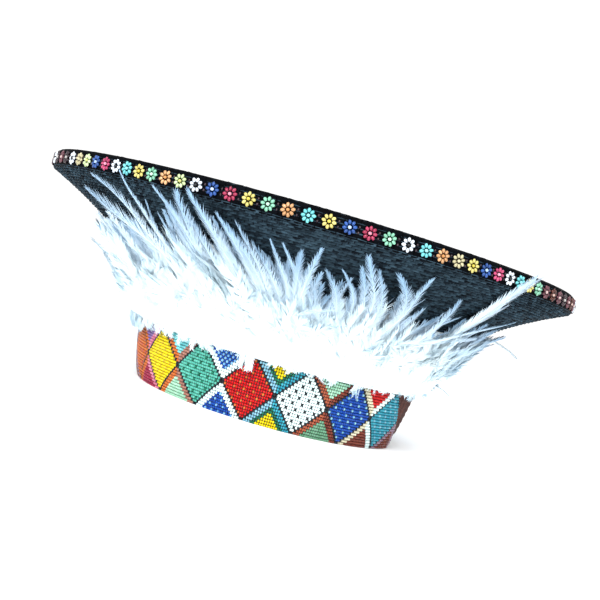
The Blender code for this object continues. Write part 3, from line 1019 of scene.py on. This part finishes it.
def make_down_pad(rng, finish):
    """The packed down under the feathers: one closed lumpy ring against the flare's foot."""
    columns, rows = 160, 15
    skin, thin, thick = 0.0006, 0.0028, 0.0140
    turn = np.linspace(0, 2 * pi, columns, endpoint=False)
    lowest, highest = -0.035, 0.78 * tip_rise(turn)
    wobble = sum(rng.uniform(0.4, 1.0) / k * np.sin(k * turn + rng.uniform(0, 6.28))
                 for k in (3, 7, 13, 29))
    outer, inner = [], []
    for row in range(rows):
        t = row / (rows - 1)
        share = lowest + (highest - lowest) * t
        fat = thin + thick * sin(pi * min(1, 0.12 + t * 0.88)) ** 0.7
        ripple = 1 + 0.10 * wobble * np.sin(2.2 * t * pi + turn * 9)
        stand = fat * fullness(turn) * ripple if 0 < row < rows - 1 else 2 * skin
        outer.append(off_wall(share, turn, stand)[0])
        inner.append(off_wall(share, turn, skin)[0])
    faces = [(a, b, d, c) for a, b, c, d in quads(2 * rows, columns, closed=True)]
    mesh = raw_mesh("feather_down_pad", np.concatenate(outer + inner[::-1]), faces=faces)
    mesh.shade_smooth()
    mesh.materials.append(finish)
    settle(piece("feather_down_pad", mesh), "feather_trim")


def side_shade(angle):
    """How far the down turns to its tip colour, which is painted shade: most at the hat's two
    sides.
    """
    return 0.65 + 1.6 * float(smooth_step((abs(sin(angle)) - 0.8) / 0.2))


def hanging_tuft(rng, layer, angle, lowest, lean=0.08):
    """A small soft tuft that falls over the strip's top edge."""
    root = rng.uniform(0.02, 0.08)
    stand = stand_off(4, 0.004, rng.uniform(0.004, 0.009) * fullness(angle),
                      rng.uniform(0.002, 0.006), crest_at=0.5)
    # Its fade is painted shade: the tuft turns to its tip colour, more at the hat's sides.
    layer.rise(root, lowest, angle, rng.normal(0, lean), stand, rng.normal(0, 0.5),
               fade=min(1.3, side_shade(angle)), **TUFT)


PARTING = radians(360 - 17.3)  # the down hangs shorter here, over a blue triangle
PARTING_REACH = radians(7)


def make_fluff(rng, finish):
    """Short downy plumes at the seam: they bulge out and hide the strip's top edge."""
    layer = Plumage(rng)
    for angle in scattered(rng, 660):
        full = fullness(angle)
        root = rng.uniform(-0.005, 0.24)
        tip = root + rng.uniform(0.28, 0.66) * tip_rise(angle)
        lean = rng.normal(-0.05, 0.12)
        stand = stand_off(5, rng.uniform(0.002, 0.006), rng.uniform(0.011, 0.019) * full,
                          rng.uniform(0.009, 0.020) * full, crest_at=0.5)
        # Fade is painted shade: the plume turns to its tip colour, most at the hat's sides.
        layer.rise(root, tip, angle, lean, stand, rng.normal(0, 0.45), bend=1.4,
                   fade=side_shade(angle), **PLUME)
    for angle in scattered(rng, 380):
        tip = rng.choice((rng.uniform(-0.05, -0.015), rng.uniform(-0.09, -0.04)), p=(0.7, 0.3))
        if abs(angle - PARTING) < PARTING_REACH:
            tip = -0.015
        hanging_tuft(rng, layer, angle, tip + 0.03 * sin(angle))
    # At the left side the down hangs lower, over the corner of the strip.
    for _ in range(70):
        angle = radians(rng.uniform(-108, -63))
        hanging_tuft(rng, layer, angle, rng.uniform(-0.14, -0.07))
    layer.make("feather_fluff", DOWN_BARB, finish, 71)


# Two thick tufts of down fall over a diamond's top corner, at these degrees from the front.
LOW_TUFTS = (-9.2, 28.8)


def make_low_tufts(rng, finish):
    """The two tufts of down that hang lowest in front."""
    layer = Plumage(rng)
    for middle in LOW_TUFTS:
        for _ in range(5):
            angle = radians(middle + rng.normal(0, 0.8))
            hanging_tuft(rng, layer, angle, rng.uniform(-0.14, -0.08), 0.015)
    layer.make("feather_low_tufts", DOWN_BARB, finish, 74)


def hackle(share, reach):
    """Barb length along a pointed hackle: full past its middle, drawn to a point at its tip."""
    return reach * np.clip(1.05 - share, 0.03, 1) ** 0.5 * np.clip(0.4 + share, 0, 1)


def make_hackles(rng, finish):
    """The long pointed feathers that lie up the flare."""
    layer = Plumage(rng)
    count = 470
    turns = 2 * pi * (np.arange(count) + rng.uniform(0, 1, count)) / count
    left_side = np.radians(rng.uniform(-96, -50, 50))  # more feathers there, turned on edge
    for k, angle in enumerate(np.concatenate([turns, left_side])):
        # The extra left-side feathers take half as much painted tip shade.
        slim, edge_turn, fade = (0.7, 0.9, 0.5) if k >= count else (1.0, 0.0, 1.0)
        lean = rng.normal(-0.05, 0.1)
        root = rng.uniform(0.05, 0.25)
        end = rng.uniform(0.002, 0.009)
        rise = tip_rise(angle + lean) * rng.uniform(0.7, 1.02)
        tip = float(share_at(FLARE_FOOT + FLARE_RISE * rise, end))
        crest = rng.uniform(0.008, 0.014) * (fullness(angle) * slim)
        stand = stand_off(7, rng.uniform(0.003, 0.007), crest, end, crest_at=0.42)
        reach = rng.uniform(0.012, 0.019)
        layer.rise(root, tip, angle, lean, stand, rng.normal(0, 0.4) + edge_turn, bend=1.3,
                   reach=lambda s: hackle(s, reach), fade=fade, **HACKLE)
    layer.make("feather_hackles", VANE_BARB, finish, 72)


# Single feathers that stand clear in front: half the vane's width in mm, then (angle in degrees,
# height in mm) from the tip down.
CLEAR_FEATHERS = (
    (6.0, (-55.3, 116.1), (-49.4, 109.0), (-43.8, 105.2), (-39.4, 99.1)),
    (4.8, (-44.9, 123.9), (-40.7, 120.2), (-37.7, 116.5), (-36.0, 111.2), (-36.2, 97.6)),
    (2.1, (-35.9, 129.4), (-34.1, 123.4), (-32.9, 117.4), (-32.4, 111.0), (-32.5, 100.2)),
    (1.7, (-33.3, 117.7), (-32.5, 109.7), (-32.1, 99.9)),
    (3.6, (-28.7, 125.1), (-26.4, 120.3), (-24.6, 115.4), (-23.4, 101.1)),
    (2.1, (-33.1, 106.3), (-30.7, 101.2), (-28.6, 92.4)),
    (5.6, (-24.0, 125.0), (-23.5, 118.1), (-23.3, 111.0), (-22.5, 100.6)),
    (4.8, (-27.1, 118.4), (-25.6, 111.0), (-24.2, 101.6)),
    (4.5, (-21.6, 127.4), (-19.5, 121.8), (-18.3, 115.2), (-16.8, 106.1)),
    (3.6, (-20.5, 118.8), (-18.5, 112.4), (-16.3, 103.5)),
    (3.1, (-17.1, 120.0), (-15.7, 115.4), (-14.1, 110.3), (-11.9, 101.5)),
    (3.9, (-13.6, 118.2), (-12.1, 113.8), (-10.1, 105.8)),
    (2.1, (-7.2, 114.6), (-6.0, 108.1), (-4.4, 100.9), (-2.0, 92.2)),
    (2.1, (-4.7, 114.3), (-3.3, 108.1), (-1.6, 102.0), (0.7, 94.3)),
    (3.6, (-1.0, 112.9), (-0.7, 106.1), (-0.4, 95.9)),
    (3.1, (2.4, 117.3), (1.9, 109.5), (1.5, 100.0), (1.4, 89.9)),
    (3.4, (4.7, 106.8), (6.1, 102.4), (8.7, 94.6)),
    (2.1, (7.8, 109.4), (9.5, 104.1), (12.2, 96.4)),
    (4.2, (10.3, 120.1), (11.2, 114.4), (13.1, 107.5), (16.6, 97.5)),
    (3.4, (10.7, 113.6), (11.9, 106.2), (14.5, 97.0)),
    (3.4, (14.0, 114.2), (15.4, 106.9), (18.2, 97.5)),
    (4.2, (17.7, 115.2), (19.1, 110.6), (22.4, 102.4)),
    (3.1, (23.5, 118.8), (22.8, 112.6), (23.1, 105.4), (24.9, 95.3)),
    (3.9, (34.3, 111.6), (34.8, 104.6), (34.9, 98.0), (35.9, 86.6)),
    (1.6, (58.5, 110.1), (53.0, 103.4), (46.6, 96.6), (42.6, 87.5)),
    (2.6, (68.5, 94.7), (51.3, 91.4), (44.7, 85.0)),
    (3.9, (-28.4, 117.3), (-26.5, 109.7), (-25.0, 100.2)),
    (4.2, (-23.7, 117.1), (-22.0, 110.3), (-20.5, 101.9)),
    (3.6, (-32.4, 112.1), (-30.2, 105.2), (-28.0, 96.7)),
    (3.6, (-19.9, 113.8), (-17.7, 108.2), (-15.3, 101.2)),
    (3.9, (-15.7, 115.5), (-13.6, 109.9), (-11.4, 103.9)),
    (3.6, (-11.0, 110.3), (-8.9, 104.7), (-6.6, 97.9)),
    (3.1, (72.6, 87.8), (57.5, 83.0), (50.2, 76.5)),
)
# A long double feather that crosses the rim: (angle in degrees, height and radius in mm) of its
# root and of its two tips.
LONG_ROOT = (53.3, 72.6, 118.0)
LONG_TIPS = ((39.4, 134.2, 207.2), (46.0, 114.0, 172.8))
# Bare hairs at the right side: (radius, height) in mm from the root out.
RIGHT_HAIRS = (
    ((124, 84), (138.3, 95.6), (147.2, 95.3), (156.3, 93.2), (165, 90.3), (171.4, 86.7)),
    ((107, 44), (112, 48.5), (118.9, 50.6), (124.8, 49.2), (130.3, 46.1)),
)


def blade(share, reach):
    """Barb length along a blade-shaped feather: full to two thirds, then drawn to a point."""
    return reach * np.clip((1.04 - share) / 0.3, 0, 1) ** 0.6


def bent_line(chain, steps):
    """Angle, height and stand-off along a chain of (degrees, mm, mm), with softened corners."""
    chain = np.array(chain, float)
    walked = along_line(chain[:, :2] * (2.6, 1))  # a degree is 2.6 mm here
    line = read_off(np.linspace(0, walked[-1], steps), walked, chain)
    for _ in range(3):
        line[1:-1] = (line[:-2] + 2 * line[1:-1] + line[2:]) / 4
    angle, height, stand = line.T
    return np.radians(angle), height / 1000, stand / 1000


def straight_line(low, high, steps):
    """A straight line between two (degrees, height, radius in mm), with directions outwards."""
    ends = [around(radius / 1000, radians(angle), height / 1000)
            for angle, height, radius in (low, high)]
    path = ends[0] + (ends[1] - ends[0]) * np.linspace(0, 1, steps)[:, None]
    turn = np.arctan2(path[:, 0], -path[:, 1])
    return path, off_wall((path[:, 2] - FLARE_FOOT) / FLARE_RISE, turn, 0.0)[1]


def make_clear_feathers(rng, finish):
    """The feathers that can be told apart in front of the black wall, and a few loose hairs."""
    layer = Plumage(rng)
    root_height = 60  # mm, hidden in the down
    for mirrored in (False, True):
        for half_width, *points in CLEAR_FEATHERS:
            (tip_angle, tip_height), (low_angle, low_height) = points[0], points[-1]
            run = (low_angle - tip_angle) / (tip_height - low_height)
            chain = [(low_angle + 0.6 * run * (low_height - root_height), root_height, 6)]
            # Off the wall it stands 13 mm at its lowest point and 4 mm at its tip.
            stands = 4 + 9 * np.linspace(1, 0, len(points)) ** 0.8
            chain += [(a, h, stand) for (a, h), stand in zip(points[::-1], stands)]
            angle, height, stand = bent_line(chain, 13)
            if mirrored:
                angle = pi - angle + rng.normal(0, 0.04)
            path, out = off_wall(share_at(height, stand), angle, stand)
            reach = half_width / 1000 / sin(0.4)  # its barbs turn about 0.4 from the quill
            layer.feather(path, out, rng.normal(0, 0.2), reach=lambda s: blade(s, reach), **CLEAR)
    for tip, half_width in zip(LONG_TIPS, (0.0054, 0.0050)):
        path, out = straight_line(LONG_ROOT, tip, 9)
        reach = half_width / 0.35  # and these turn about 0.35
        layer.feather(path, out, twist=0, reach=lambda s: blade(s * 0.9, reach), **LONG)
    for hair in RIGHT_HAIRS:
        path = [around(radius / 1000, pi / 2, height / 1000) for radius, height in hair]
        layer.shaft(path, 0.0011, thinned=0.45, fade=0.5)
    # Loose hairs that stand free of the mass.
    for angle in scattered(rng, 80):
        full = fullness(angle)
        root = rng.uniform(0.1, 0.3)
        tip = root + rng.uniform(0.2, 0.36)
        stand = stand_off(7, 0.006, 0.016 * full, rng.uniform(0.010, 0.018) * full, crest_at=0.6)
        layer.rise(root, tip, angle, rng.normal(-0.05, 0.2), stand, rng.normal(0, 0.6), **LOOSE)
    layer.make("feather_clear", VANE_BARB, finish, 73)


# -------- the hat
set_up_studio()
threads, beads, plumes, late_plumes = (np.random.default_rng(seed) for seed in (11, 12, 13, 14))
make_flare(threads)
make_crown(threads)
make_head_ring()
make_bead_strip(beads)
make_rosettes(beads)
# Each white's last colour is its tip colour, a painted grey-blue shade towards the feather tips.
pad_white = feather_down("bleached_down_pad", "#e6f5fc", "#eef9fd", "#e6f5fc")
down_white = feather_down("bleached_down", "#e1f3fa", "#ebf9fd", "#b0cad9")
hackle_white = feather_down("bleached_hackle", "#d2e7f5", "#e6f5fc", "#7a9dba")
make_down_pad(plumes, pad_white)
make_fluff(plumes, down_white)
make_hackles(plumes, hackle_white)
make_clear_feathers(plumes, hackle_white)
make_low_tufts(late_plumes, down_white)
